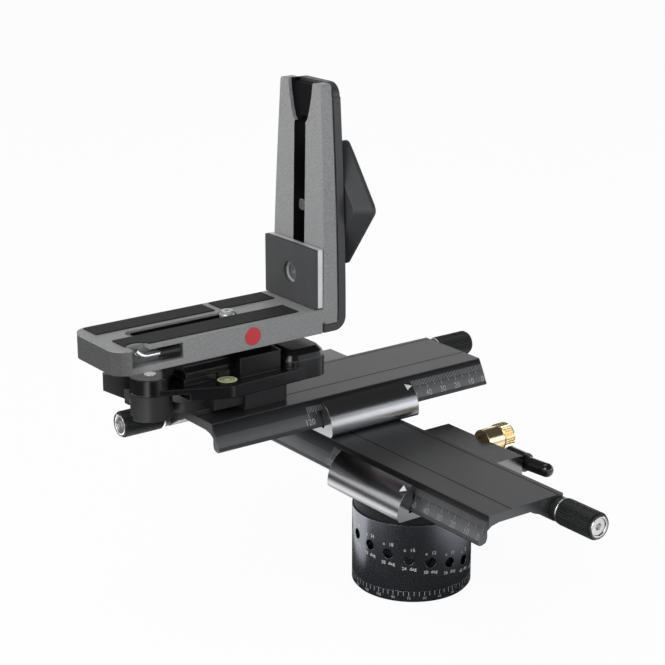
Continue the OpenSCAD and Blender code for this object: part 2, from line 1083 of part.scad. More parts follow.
// Opening in the band behind the scoop, wider towards the top
module band_mouth() {
    low = channel_w / 2;
    section_x(-10, 10)
    polygon([[-low, mouth_low], [low, mouth_low], [11.2, upright_h - bar_t],
        [-11.2, upright_h - bar_t]]);
}

// Room for the band below the arm's back end
module band_notch() {
    box([-band_leg - 0.2, -40, -over], [-band_t, 40, band_t]);
    box([-band_leg - groove_w, -40, -over],
        [-band_leg + over, groove_in - bracket_w / 2, band_t + groove_w]);
}

module band_profile() {
    inner_r = 3;
    outer_r = 7;
    polygon(concat([[-band_leg, 0]], arc(-outer_r, outer_r, outer_r, 270, 360, 8), [[0, upright_h]],
        [[-band_t, upright_h]], arc(-band_t - inner_r, band_t + inner_r - gap, inner_r, 0, -90, 6),
        [[-band_leg, band_t - gap]]));
}

// Back band of the upright, which turns under the arm and closes the mouth with a bar
module bracket_band() {
    color("#4d4e51")
    in_bracket()
    difference() {
        intersection() {
            translate([0, 40, 0])
            rotate([90, 0, 0])
            linear_extrude(80)
            band_profile();
            section_x(-30, 1)
            polygon(upright_outline(upright_h, 7));
        }
        box([-30, -9, -over], [-band_t, 9, band_t + 5]);
        translate([0, 0, slot_low])
        box([-10, -channel_w / 2, 0], [10, channel_w / 2, mouth_low - slot_low + 0.1]);
        band_mouth();
    }
}

module pad_recess() {
    translate([0, 0, arm_t - 1]) {
        linear_extrude(2)
        rear_outline();
        linear_extrude(2)
        front_outline();
    }
}

module rear_outline() {
    deep = bracket_w / 2 - 10;
    translate([6.3 - arm_len, 8])
    square([arm_len - 67.8, deep]);
    translate([-57, 8])
    square([33, deep]);
}

module front_outline() {
    edge = 3.5 - bracket_w / 2;
    difference() {
        translate([7.8 - arm_len, edge])
        square([arm_len - 35.8, -5.3 - edge]);
        translate([13.8 - arm_len, edge - 2])
        circle(7);
    }
}

module rear_pads() {
    color("#161617")
    in_bracket()
    translate([0, 0, arm_t - 1])
    linear_extrude(1 + pad_rise)
    rear_outline();
}

module front_pad() {
    color("#161617")
    in_bracket()
    translate([0, 0, arm_t - 1])
    linear_extrude(1 + pad_rise)
    front_outline();
}

module badge_place() {
    translate([-58.7, -bracket_w / 2, arm_t / 2 + 0.1])
    children();
}

module badge() {
    color("#c8202c")
    in_bracket()
    badge_place()
    rod_y(-0.3, 0.5, badge_r);
}

// Pocket in the arm's front side where the key lies
module key_recess() {
    front = -bracket_w / 2 - over;
    back = key_y + sleeve_high_r + 0.6;
    box([key_x - 9.5, front, key_floor], [key_x + 19.5, back, 11.3]);
    box([key_x - 9.5, front, key_floor], [key_x + 0.5, back, arm_t + over]);
}

module screw_slider() {
    wide = slot_w - 1 - 2 * gap;
    color("#2c2d2f")
    in_bracket()
    translate([stud_x, 0, 0])
    difference() {
        union() {
            box([-6, -9 + gap, carrier_low], [6, 9 - gap, 5 - gap]);
            rod_z(carrier_low, arm_t - 4, wide / 2);
        }
        rod_z(-over, arm_t, stud_d / 2 + fit);
    }
}

module camera_screw() {
    color("#c9cacc")
    in_bracket()
    translate([stud_x, 0, 0])
    difference() {
        union() {
            rod_z(carrier_low + 0.2, arm_t + stud_rise, stud_d / 2);
            rod_z(arm_t - 4 + gap, arm_t, stud_d / 2 + 0.8);
        }
        translate([0, 0, arm_t + stud_rise - 2.5])
        cylinder(h = 4, r = 1.8, $fn = 6);
    }
}

// Anti-twist plate in front of the upright: a pad and its backing
module clamp_layer(x0, x1, hole_r) {
    difference() {
        box([x0, 0.5 - bracket_w / 2, arm_t + clamp_low],
            [x1, bracket_w / 2 - 0.5, arm_t + clamp_low + clamp_h]);
        translate([0, 0, clamp_z])
        rod_x(x0 - over, x1 + over, hole_r);
    }
}

module clamp_pad() {
    color("#2b2c2e")
    in_bracket()
    clamp_layer(clamp_x - plate_back_t - pad_t, clamp_x - plate_back_t, clamp_hole_r);
}

module clamp_plate() {
    color("#8b8c8e")
    in_bracket()
    difference() {
        clamp_layer(clamp_x - plate_back_t, clamp_x, 3);
        translate([0, 0, clamp_z])
        rod_x(clamp_x - plate_back_t - over, clamp_x - clamp_floor, clamp_hole_r);
    }
}

module channel_nut(z) {
    half = channel_w / 2 - gap;
    box([-band_t + gap, -half, z - 6], [-gap, half, z + 6]);
}

module clamp_screw() {
    color("#b9babc")
    in_bracket()
    union() {
        translate([0, 0, clamp_z])
        difference() {
            union() {
                rod_x(clamp_x - clamp_floor, -1, 3);
                rod_x(clamp_x - clamp_floor - clamp_head_t, clamp_x - clamp_floor, 4.6);
            }
            translate([clamp_x - plate_back_t, 0, 0])
            rotate([0, 90, 0])
            cylinder(h = 2, r = 1.8, $fn = 6);
        }
        channel_nut(clamp_z);
    }
}

module knob_stud() {
    color("#c9cacc")
    in_bracket()
    union() {
        translate([0, 0, knob_z])
        rod_x(-11.6, 9, 3);
        channel_nut(knob_z);
    }
}

// Five-cornered grip, wider at its outer face
module clamp_knob() {
    corner = 4;
    near_r = clamp_knob_r - 6.5;
    color("#3a3b3d")
    in_bracket()
    translate([0, 0, knob_z])
    difference() {
        hull() {
            knob_corners(near_r, corner)
            rod_x(1, 1.5, corner);
            knob_corners(clamp_knob_r, corner)
            rod_x(8.8, 10.6, corner);
            knob_corners(clamp_knob_r - 5, corner)
            rod_x(12, 14, corner);
        }
        rod_x(0, 9 + gap, 3 + fit);
    }
}

module knob_corners(r, corner) {
    for (i = [0 : 4])
        rotate([180 + 72 * i, 0, 0])
        translate([0, r - corner, 0])
        children();
}

module key_wire() {
    color("#d2d3d5")
    in_bracket()
    translate([key_x, key_y, key_z]) {
        translate([0, 0, key_bend])
        rotate([90, 0, 0])
        rotate([0, 0, 215])
        rotate_extrude(angle = 55)
        translate([key_bend, 0])
        circle(key_r);
        rod_x(0, 12, key_r);
    }
}

module key_sleeve() {
    color("#18181a")
    in_bracket()
    translate([key_x, key_y, key_z])
    difference() {
        translate([7, 0, 0])
        rotate([0, 90, 0])
        cylinder(h = 10.6, r1 = sleeve_low_r, r2 = sleeve_high_r);
        rod_x(6, 12, key_r);
    }
}

base_disc();
base_screws();
tripod_bush();
index_core();
spindle();
thrust_washer();
spindle_nut();
scale_ring();
ring_grub();
index_housing();
neck_collar();
neck_bolts();
plunger_sleeve();
index_plunger();
lower_carriage();
lower_lock_shoe();
lower_plate();
lower_bearings();
lower_lead_screw();
lower_near_knob();
lower_far_knob();
lower_lock_knob();
lower_lever();
lower_lever_pin();
lower_half_nut();
upper_carriage();
carriage_bolts();
upper_lock_shoe();
upper_plate();
upper_bearings();
upper_lead_screw();
upper_right_knob();
upper_left_knob();
upper_lock_knob();
upper_lever();
upper_lever_pin();
upper_half_nut();
release_base();
release_body();
release_pivot();
level_vial();
release_lever();
release_jaw();
bracket_foot();
bracket();
bracket_band();
rear_pads();
front_pad();
badge();
screw_slider();
camera_screw();
clamp_pad();
clamp_plate();
clamp_screw();
knob_stud();
clamp_knob();
key_wire();
key_sleeve();
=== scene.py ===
"""Looks of a panoramic tripod head: finishes, printed scales, knob ends and a pale studio."""

import math

import bpy
from mathutils import Matrix, Vector


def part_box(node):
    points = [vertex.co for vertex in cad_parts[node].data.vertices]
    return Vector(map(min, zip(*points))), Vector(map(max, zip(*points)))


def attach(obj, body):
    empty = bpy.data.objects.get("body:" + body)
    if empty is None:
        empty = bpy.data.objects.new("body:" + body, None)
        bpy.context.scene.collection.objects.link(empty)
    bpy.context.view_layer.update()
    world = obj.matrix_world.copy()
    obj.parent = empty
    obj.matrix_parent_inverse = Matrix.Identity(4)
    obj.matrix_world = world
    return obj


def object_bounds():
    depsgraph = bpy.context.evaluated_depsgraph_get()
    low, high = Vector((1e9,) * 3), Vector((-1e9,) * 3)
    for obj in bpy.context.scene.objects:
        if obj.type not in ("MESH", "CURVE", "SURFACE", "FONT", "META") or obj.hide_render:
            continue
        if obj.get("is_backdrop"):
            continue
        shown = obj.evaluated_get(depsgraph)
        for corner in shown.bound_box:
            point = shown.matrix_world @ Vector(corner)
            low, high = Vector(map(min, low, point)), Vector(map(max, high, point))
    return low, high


bl_info = {
    "name": "Panoramic head finish",
    "version": (1, 0, 0),
    "blender": (4, 5, 0),
    "location": "View3D > Sidebar > Pan Head",
    "description": "Finishes, printed scales and small trim of a panoramic tripod head",
    "category": "Object",
}

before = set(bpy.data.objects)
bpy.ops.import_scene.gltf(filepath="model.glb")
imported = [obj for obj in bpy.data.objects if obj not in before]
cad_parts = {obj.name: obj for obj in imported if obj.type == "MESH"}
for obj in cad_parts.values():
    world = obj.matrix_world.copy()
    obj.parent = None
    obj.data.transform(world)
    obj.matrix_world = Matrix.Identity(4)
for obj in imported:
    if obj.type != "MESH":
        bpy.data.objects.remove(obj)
CAD_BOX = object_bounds()

MM = 0.001
PRINT_RISE = 0.03 * MM
# Camera fitted to the photograph, in metres and degrees
CAMERA_PLACE = (-0.5466, -0.6733, 0.4093)
CAMERA_HEADING = 36.37
CAMERA_DROP = 17.67
CAMERA_LENS = 98.8

# What polished faces mirror: floor tones from picture left to right, and a card at its left rear
FLOOR_SPAN = 0.6
FLOOR_ENDS = (0.12, 0.6)
FLOOR_TONES = ((0.19, 2.6), (0.24, 1.8), (0.3, 0.08), (0.6, 0.04), (0.74, 1.3))
CARD_SPAN = (-0.17, -0.06)
CARD_NEAR = 0.01
CARD_TONE = 1.3
HORIZON_TONES = ((0.3, 0.14), (0.5, 0.03), (1.0, 0.03))
HORIZON_REAR = (0.1, 0.6, 2.2, 1.9)

# Skirt of a scale plate: (inward, rise) of its outer face below the front edge, in mm
SKIRT_FACE = ((0, 0), (-3.5, -6), (-6.1, -11.6), (-7, -13))
SKIRT_OUT = 7 * MM
# Painted shade on a skirt: none this far below the top, full this far below it, and its strength
SKIRT_PAINTED_SHADE = (10 * MM, 1 * MM, 0.8)
# Printed scale: readings run over TRAVEL, ticks hang from TICK_TOP below the front edge
TRAVEL = 120
TICK_TOP = 2.9
TICK_LENGTHS = (2.8, 4.0, 5.2)
NUMBER_DROP = 10.3 * MM
ZERO_READING = 1.9
TICK_SHIFT = 0.4
# Fine grooves along a plate's top, darkened by lines of painted shade: their places inward of the
# front edge and their length
GROOVES = (13.7 * MM, 44 * MM)
GROOVE_SPAN = (0.2 * MM, 177.8 * MM)
GROOVE_WIDE = 0.55 * MM
# Front bulge of a carriage, as a circle (inward, rise) from the front edge, and the pointer on it
BULGE_CENTRE = (2.2 * MM, -15.3 * MM)
BULGE_RADIUS = 17 * MM
POINTER_TURN = 130.5
POINTER_BACK = 3.15 * MM
POINTER_HALF = 2.0 * MM
POINTER_STRIPS = 8
POINTER_TAIL = -1.3 * MM
POINTER_TIP = 2.7 * MM
# Bracket: its slots (start, end, half width), its scoop, and the tail of its arm, which painted
# shade darkens
ARM_SLOT = (108.6 * MM, 52.8 * MM, 4.5 * MM)
UPRIGHT_SLOT = (22.85 * MM, 23 * MM, 5.0 * MM)
SCOOP_LONG = 16 * MM
SCOOP_HALF = 11.2 * MM
SCOOP_FLOOR = 5.9 * MM
PAD_RISE = 1.8 * MM
ARM_TAIL = (3 * MM, 17 * MM)
ARM_TAIL_PAINTED_SHADE = 0.72
# Index rows: stops in a turn, turn of the first hole and step between holes in degrees, and
# the height of the first hole and the drop to the next
STOPS = (72, 36, 24, 18, 15, 12, 10, 8, 6, 4)
FIRST_HOLE = 147
HOLE_STEP = 20.5
HOLE_TOP = 32.1 * MM
HOLE_DROP = 2.1 * MM
LABEL_OFF = 5.1 * MM
# Degree ring: turn of its zero and degrees between ticks
RING_ZERO = -56
RING_STEP = 5
# Bubble level, in shares of its radius: bubble, its outline, liquid, line, liquid and rim
LEVEL_RINGS = (0.3, 0.36, 0.55, 0.6, 0.86)
LAMP_AIM = (0, 0.03, 0.1)


# ---------------------------------------------------------------- materials

class NodeDesk:
    """Adds shader nodes and links them, so a finish reads like a recipe."""

    def __init__(self, owner, output="ShaderNodeOutputMaterial"):
        owner.use_nodes = True
        self.tree = owner.node_tree
        self.tree.nodes.clear()
        self.output = self.tree.nodes.new(output)

    def add(self, kind, **settings):
        node = self.tree.nodes.new(kind)
        for key, value in settings.items():
            setattr(node, key, value)
        return node

    def link(self, source, target):
        self.tree.links.new(source, target)

    def place(self, scale):
        coordinates = self.add("ShaderNodeTexCoord")
        mapping = self.add("ShaderNodeMapping")
        mapping.inputs["Scale"].default_value = scale
        self.link(coordinates.outputs["Object"], mapping.inputs["Vector"])
        return mapping.outputs["Vector"]

    def noise(self, vector, scale, detail=3.0, rough=0.55):
        node = self.add("ShaderNodeTexNoise")
        node.inputs["Scale"].default_value = scale
        node.inputs["Detail"].default_value = detail
        node.inputs["Roughness"].default_value = rough
        self.link(vector, node.inputs["Vector"])
        return node.outputs["Fac"]

    def ramp(self, factor, low, high, start=0.3, end=0.7):
        node = self.add("ShaderNodeValToRGB")
        node.color_ramp.elements[0].position = start
        node.color_ramp.elements[0].color = (*low, 1)
        node.color_ramp.elements[1].position = end
        node.color_ramp.elements[1].color = (*high, 1)
        self.link(factor, node.inputs["Fac"])
        return node.outputs["Color"]

    def math(self, operation, *values):
        node = self.add("ShaderNodeMath", operation=operation)
        for socket, value in zip(node.inputs, values):
            if isinstance(value, (int, float)):
                socket.default_value = value
            else:
                self.link(value, socket)
        return node.outputs[0]

    def position(self):
        """x, y and z in the frame, the same in every pose."""
        split = self.add("ShaderNodeSeparateXYZ")
        self.link(self.add("ShaderNodeTexCoord").outputs["Object"], split.inputs["Vector"])
        return split.outputs["X"], split.outputs["Y"], split.outputs["Z"]

    def near_line(self, along, across, start, end, middle, reach):
        """1 within reach of the line that runs from start to end at middle."""
        beyond = self.math("SUBTRACT", self.math("ABSOLUTE", self.math(
            "SUBTRACT", along, (start + end) / 2)), (end - start) / 2)
        outer = self.math("POWER", self.math("MAXIMUM", beyond, 0.0), 2.0)
        aside = self.math("POWER", self.math("ABSOLUTE", self.math(
            "SUBTRACT", across, middle)), 2.0)
        return self.math("LESS_THAN", self.math("ADD", outer, aside), reach ** 2)

    def fall(self, value, start, end, low, high):
        """Runs from low at start to high at end, and stays there beyond them."""
        node = self.add("ShaderNodeMapRange")
        for name, number in (("From Min", start), ("From Max", end), ("To Min", low),
                             ("To Max", high)):
            node.inputs[name].default_value = number
        self.link(value, node.inputs["Value"])
        return node.outputs["Result"]

    def span(self, factor, low, high):
        return self.fall(factor, 0.0, 1.0, low, high)


def shade(colour, factor):
    """A lighter or darker colour, held at white."""
    return tuple(min(1.0, c * factor) for c in colour)


def finish_material(name, colour, rough, metal=0.0, grain=700, relief=0.1, depth=0.05,
                    stretch=(1, 1, 1), spread=0.12, edge=0.35, coat=0.0, specular=0.5,
                    blotch=40, rough_spread=0.12, painted_shade=None):
    """A painted, anodised, moulded or polished finish: colour blotches, grain and soft edges."""
    material = bpy.data.materials.new(name)
    desk = NodeDesk(material)
    shader = desk.add("ShaderNodeBsdfPrincipled")
    desk.link(shader.outputs["BSDF"], desk.output.inputs["Surface"])
    shader.inputs["Metallic"].default_value = metal
    shader.inputs["Coat Weight"].default_value = coat
    shader.inputs["Coat Roughness"].default_value = 0.12
    shader.inputs["Specular IOR Level"].default_value = specular
    wide = desk.noise(desk.place((1, 1, 1)), blotch, 4.0)
    fine = desk.noise(desk.place(stretch), grain, 2.0)
    paint = desk.ramp(wide, shade(colour, 1 - spread), shade(colour, 1 + spread))
    # Painted shade: where the mask is up, the colour runs toward near black and the specular
    # drops
    if painted_shade:
        shade_share = painted_shade(desk)
        dark = desk.add("ShaderNodeMix", data_type="RGBA")
        dark.inputs["B"].default_value = (0.006, 0.006, 0.007, 1)
        desk.link(shade_share, dark.inputs["Factor"])
        desk.link(desk.span(shade_share, specular, 0.08), shader.inputs["Specular IOR Level"])
        desk.link(paint, dark.inputs["A"])
        paint = dark.outputs["Result"]
    desk.link(paint, shader.inputs["Base Color"])
    desk.link(desk.span(fine, rough * (1 - rough_spread), rough * (1 + rough_spread)),
              shader.inputs["Roughness"])
    bump = desk.add("ShaderNodeBump")
    bump.inputs["Strength"].default_value = relief
    bump.inputs["Distance"].default_value = depth * MM
    desk.link(fine, bump.inputs["Height"])
    if edge:
        rounded = desk.add("ShaderNodeBevel")
        rounded.samples = 4
        rounded.inputs["Radius"].default_value = edge * MM
        desk.link(rounded.outputs["Normal"], bump.inputs["Normal"])
    desk.link(bump.outputs["Normal"], shader.inputs["Normal"])
    return material


def level_material(name, liquid):
    """The vial of a bubble level: pale liquid, a bubble with its dark outline and a black rim."""
    material = bpy.data.materials.new(name)
    desk = NodeDesk(material)
    shader = desk.add("ShaderNodeBsdfPrincipled")
    desk.link(shader.outputs["BSDF"], desk.output.inputs["Surface"])
    shader.inputs["Roughness"].default_value = 0.12
    shader.inputs["Coat Weight"].default_value = 0.6
    x, y = desk.position()[:2]
    low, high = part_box("level_vial")
    middle = (low + high) / 2
    reach = (high.x - low.x) / 2
    rings = desk.add("ShaderNodeValToRGB")
    rings.color_ramp.interpolation = "CONSTANT"
    stops = rings.color_ramp.elements
    bubble, dark = (*shade(liquid, 1.25), 1), (0.03, 0.035, 0.02, 1)
    pale, rim = (*liquid, 1), (0.01, 0.01, 0.011, 1)
    stops[0].position, stops[0].color = 0.0, bubble
    stops[1].position, stops[1].color = LEVEL_RINGS[0], dark
    for position, colour in zip(LEVEL_RINGS[1:], (pale, dark, pale, rim)):
        stops.new(position).color = colour
    square = [desk.math("POWER", desk.math("ABSOLUTE", desk.math("SUBTRACT", value, centre)), 2.0)
              for value, centre in ((x, middle.x), (y, middle.y))]
    away = desk.math("SQRT", desk.math("ADD", *square))
    desk.link(desk.math("DIVIDE", away, reach), rings.inputs["Fac"])
    cloud = desk.add("ShaderNodeMix", data_type="RGBA", blend_type="MULTIPLY")
    cloud.inputs["Factor"].default_value = 0.12
    desk.link(rings.outputs["Color"], cloud.inputs["A"])
    desk.link(desk.noise(desk.place((1, 1, 1)), 260, 2.0), cloud.inputs["B"])
    desk.link(cloud.outputs["Result"], shader.inputs["Base Color"])
    return material


def brushed_material(name, colour, rough, stretch, relief=0.25):
    """Turned or brushed metal, its grain drawn out along one way."""
    return finish_material(name, colour, rough, metal=1.0, grain=900, relief=relief, depth=0.03,
                           stretch=stretch, spread=0.08, edge=0.25, blotch=120)


def bracket_hollows(desk):
    """Painted shade on the bracket: the walls of its slots and the floor of its scoop below their
    bright rims, and the tail of its arm.
    """
    x, y, z = desk.position()
    low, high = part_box("bracket")
    middle = (low.y + high.y) / 2
    pad_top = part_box("front_pad")[1].z
    start, end, half = ARM_SLOT
    arm = desk.near_line(x, y, high.x - start, high.x - end, middle, half)
    arm = desk.math("MULTIPLY", arm, desk.math("LESS_THAN", z, pad_top - PAD_RISE))
    start, end, half = UPRIGHT_SLOT
    slot = desk.near_line(z, y, low.z + start, high.z - end, middle, half)
    scoop = desk.near_line(z, y, high.z - SCOOP_LONG, high.z, middle, SCOOP_HALF)
    scoop = desk.math("MULTIPLY", scoop, desk.math("GREATER_THAN", x, high.x - SCOOP_FLOOR))
    # Painted shade on the arm's end: full at the end, gone further in, kept below the pad
    full, none = ARM_TAIL
    tail = desk.fall(x, low.x + none, low.x + full, 0.0, ARM_TAIL_PAINTED_SHADE)
    below = desk.math("LESS_THAN", z, pad_top - PAD_RISE + 0.2 * MM)
    tail = desk.math("MULTIPLY", tail, below)
    slots = desk.math("MAXIMUM", desk.math("MAXIMUM", arm, slot), scoop)
    return desk.math("MAXIMUM", slots, tail)


def skirt_shade(desk, slide):
    """Painted shade on the upper part of a plate's skirt, which runs dark below the front edge.
    """
    x, y, z = desk.position()
    low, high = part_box(slide + "_plate")
    inward, front = (x, low.x) if slide == "lower" else (y, low.y)
    skirt = desk.math("LESS_THAN", inward, front + SKIRT_OUT - 0.2 * MM)
    low_end, high_end, dark = SKIRT_PAINTED_SHADE
    fall = desk.fall(z, high.z - low_end, high.z - high_end, 0.0, dark)
    return desk.math("MULTIPLY", skirt, fall)


MATERIALS = {}


def material(name):
    return MATERIALS[name]


def make_materials(looks):
    """Fills MATERIALS with every finish of the head, in the colours of the settings."""
    make = MATERIALS
    for slide in ("lower", "upper"):
        make[slide + "_plate"] = finish_material(
            "anodised_%s_plate" % slide, looks.plate, 0.36, metal=0.85, grain=2600, relief=0.1,
            depth=0.02, spread=0.06, edge=0.25, painted_shade=lambda desk: skirt_shade(desk, slide))
    make["carriage"] = finish_material("gloss_anodised", looks.carriage, 0.2, metal=1.0,
                                       grain=2600, relief=0.05, depth=0.02, edge=0.3,
                                       spread=0.05)
    make["housing"] = finish_material("satin_housing", looks.housing, 0.27, metal=1.0,
                                      grain=2200, relief=0.03, depth=0.02, edge=0.3)
    make["cast"] = finish_material("rough_cast", shade(looks.housing, 0.06), 0.6, grain=900,
                                   relief=0.8, depth=0.35, spread=0.4, edge=0.5, specular=0.2)
    make["bracket"] = finish_material("textured_casting", looks.bracket, 0.5, metal=0.1,
                                      grain=1900, relief=0.45, depth=0.12, spread=0.24,
                                      blotch=1300, edge=0.6, painted_shade=bracket_hollows)
    make["band"] = finish_material("textured_band", looks.band, 0.45, metal=0.1, grain=1900,
                                   relief=0.4, depth=0.1, spread=0.2, blotch=1300, edge=0.8)
    make["pad"] = finish_material("pad_rubber", looks.pad, 0.72, grain=1500, relief=0.5,
                                  depth=0.12, stretch=(0.3, 1, 1), edge=0.25, specular=0.3)
    make["clamp_pad"] = finish_material("clamp_rubber", looks.clamp_pad, 0.6, grain=1500,
                                        relief=0.5, depth=0.12, edge=0.3)
    make["clamp_metal"] = finish_material("clamp_backing", looks.clamp_metal, 0.4, metal=0.6,
                                          grain=1500, relief=0.2, depth=0.05, edge=0.3)
    make["grip"] = finish_material("grip_rubber", looks.grip, 0.5, grain=1800, relief=0.2,
                                   depth=0.06, edge=1.2, specular=0.4)
    make["sleeve"] = finish_material("sleeve_plastic", looks.lever, 0.4, grain=1800, relief=0.2,
                                     depth=0.05, edge=0.3)
    make["release"] = finish_material("release_casting", looks.release, 0.2, grain=1500,
                                      relief=0.2, depth=0.06, edge=0.9)
    make["release_grey"] = finish_material("release_base", looks.release_grey, 0.42, metal=0.2,
                                           grain=1700, relief=0.3, depth=0.08, edge=0.7)
    make["knob"] = finish_material("knurled_knob", looks.knob, 0.4, metal=0.3, grain=2600,
                                   relief=0.3, depth=0.15, edge=0.12)
    make["lever"] = finish_material("gloss_lever", looks.lever, 0.16, grain=700, relief=0.05,
                                    depth=0.02, edge=0.6, coat=0.4)
    make["brass"] = finish_material("polished_brass", looks.brass, 0.2, metal=1.0, grain=900,
                                    relief=0.08, depth=0.02, spread=0.06, edge=0.25)
    make["steel"] = brushed_material("turned_steel", looks.steel, 0.28, (1, 1, 4))
    make["zinc"] = finish_material("plated_zinc", shade(looks.steel, 0.6), 0.35, metal=1.0,
                                   grain=900, relief=0.2, depth=0.04, edge=0.3)
    # The index core's steel, darkened far below steel as painted shade inside the index holes
    make["core"] = finish_material("core_painted_shade", shade(looks.steel, 0.12), 0.4, metal=1.0,
                                   grain=900, relief=0.15, depth=0.04, edge=0.2)
    make["frosted"] = finish_material("frosted_steel", looks.chrome, 0.42, metal=1.0,
                                      grain=1400, relief=0.3, depth=0.05, spread=0.06, edge=0.2)
    make["chrome"] = finish_material("satin_chrome", looks.chrome, 0.2, metal=1.0,
                                     grain=800, relief=0.04, depth=0.01, spread=0.04, edge=0.2)
    make["badge"] = finish_material("badge_enamel", looks.badge, 0.25, grain=900, relief=0.05,
                                    depth=0.02, spread=0.1, edge=0.3, coat=0.5)
    for name, share in (("print", 1.0), ("print_dim", 0.62), ("print_faint", 0.3)):
        make[name] = finish_material("white_" + name, shade(looks.print_white, share), 0.6,
                                     grain=2400, relief=0.1, depth=0.01, spread=0.1, edge=0)
    # Near black lines laid in the plate grooves as painted shade
    make["groove_shade"] = finish_material("painted_groove_shade", shade(looks.lever, 0.6), 0.7, grain=2400,
                                   relief=0.1, depth=0.01, edge=0, specular=0.1)
    make["level"] = level_material("level_liquid", looks.level)


NODE_FINISH = {
    "lower_plate": ("lower_plate",),
    "upper_plate": ("upper_plate",),
    "carriage": ("lower_carriage", "upper_carriage", "lower_bearings", "upper_bearings"),
    "housing": ("index_housing", "scale_ring", "base_disc"),
    "cast": ("neck_collar",),
    "bracket": ("bracket",),
    "band": ("bracket_band",),
    "pad": ("rear_pads", "front_pad"),
    "clamp_pad": ("clamp_pad",),
    "clamp_metal": ("clamp_plate",),
    "grip": ("clamp_knob",),
    "sleeve": ("key_sleeve",),
    "release": ("release_body", "bracket_foot", "screw_slider"),
    "release_grey": ("release_base", "release_lever", "release_jaw"),
    "knob": ("lower_near_knob", "lower_far_knob", "upper_right_knob", "upper_left_knob",
             "ring_grub"),
    "lever": ("lower_lever", "lower_lever_pin", "upper_lever", "upper_lever_pin"),
    "brass": ("lower_lock_knob", "upper_lock_knob", "lower_lock_shoe", "upper_lock_shoe",
              "lower_half_nut", "upper_half_nut", "thrust_washer"),
    "steel": ("base_screws", "tripod_bush", "spindle", "spindle_nut",
              "neck_bolts", "plunger_sleeve", "lower_lead_screw", "upper_lead_screw",
              "carriage_bolts", "release_pivot"),
    "zinc": ("clamp_screw",),
    "core": ("index_core",),
    "frosted": ("camera_screw",),
    "chrome": ("index_plunger", "knob_stud", "key_wire"),
    "badge": ("badge",),
    "level": ("level_vial",),
}


# ---------------------------------------------------------------- meshes

def new_piece(name, mesh_points, faces, finish, body, smooth=False):
    """A mesh from points and faces, with its finish, riding on a body of the head."""
    data = bpy.data.meshes.new(name)
    data.from_pydata([tuple(p) for p in mesh_points], [], faces)
    data.validate()
    for polygon in data.polygons:
        polygon.use_smooth = smooth
    data.materials.append(material(finish))
    piece = bpy.data.objects.new(name, data)
    bpy.context.scene.collection.objects.link(piece)
    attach(piece, body)
    return piece


def text_outline(words, size):
    """Flat triangles of a line of text, centred, in metres."""
    curve = bpy.data.curves.new("words", "FONT")
    curve.body = words
    curve.size = size
    curve.align_x = "CENTER"
    curve.align_y = "CENTER"
    curve.resolution_u = 3
    holder = bpy.data.objects.new("words", curve)
    bpy.context.scene.collection.objects.link(holder)
    bpy.context.view_layer.update()
    flat = bpy.data.meshes.new_from_object(holder.evaluated_get(
        bpy.context.evaluated_depsgraph_get()))
    points = [Vector(v.co) for v in flat.vertices]
    faces = [tuple(p.vertices) for p in flat.polygons]
    bpy.data.objects.remove(holder)
    bpy.data.curves.remove(curve)
    bpy.data.meshes.remove(flat)
    return points, faces


class Print:
    """Collects strokes and words, laid on a surface by a function of (across, up)."""

    def __init__(self):
        self.points = []
        self.faces = []

    def stroke(self, lay, across, low, high, wide, steps=3):
        start = len(self.points)
        for i in range(steps + 1):
            up = low + (high - low) * i / steps
            self.points.append(lay(across - wide / 2, up))
            self.points.append(lay(across + wide / 2, up))
        for i in range(steps):
            a = start + 2 * i
            self.faces.append((a, a + 1, a + 3, a + 2))

    def words(self, lay, text, across, up, size):
        start = len(self.points)
        points, faces = text_outline(text, size)
        self.points += [lay(across + p.x, up + p.y) for p in points]
        self.faces += [tuple(start + i for i in face) for face in faces]

    def patch(self, lay, corners):
        start = len(self.points)
        self.points += [lay(*corner) for corner in corners]
        self.faces.append(tuple(range(start, start + len(corners))))

    def piece(self, name, body, slot_name, finish="print"):
        return new_piece(name, self.points, self.faces, finish, body)


def on_drum(radius, turn, height):
    """Lays print on an upright drum: across runs to the right of someone who looks at it."""
    def lay(across, up):
        angle = math.radians(turn) + across / radius
        reach = radius + PRINT_RISE
        return Vector((reach * math.cos(angle), reach * math.sin(angle), height + up))
    return lay


def skirt_point(drop):
    """(inward, rise) on the skirt's outer face at a drop below the plate's top, in metres."""
    drop_mm = drop / MM
    for (x0, z0), (x1, z1) in zip(SKIRT_FACE, SKIRT_FACE[1:]):
        if drop_mm <= -z1:
            share = (drop_mm + z0) / (z0 - z1)
            return (x0 + (x1 - x0) * share) * MM, -drop
    return SKIRT_FACE[-1][0] * MM, -drop


def slide_place(slide):
    """Function from (inward, reading, rise) on a slide to a place in the frame."""
    low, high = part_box(slide + "_plate")
    if slide == "lower":
        return lambda inward, reading, rise: Vector(
            (low.x + SKIRT_OUT + inward, low.y + reading, high.z + rise))
    return lambda inward, reading, rise: Vector(
        (high.x - reading, low.y + SKIRT_OUT + inward, high.z + rise))


def on_skirt(slide, reading):
    """Lays print on a plate's skirt: up is counted from the plate's top edge, negative down."""
    place = slide_place(slide)

    def lay(across, up):
        inward, rise = skirt_point(-up)
        return place(inward - PRINT_RISE, reading - across, rise + PRINT_RISE * 0.4)
    return lay


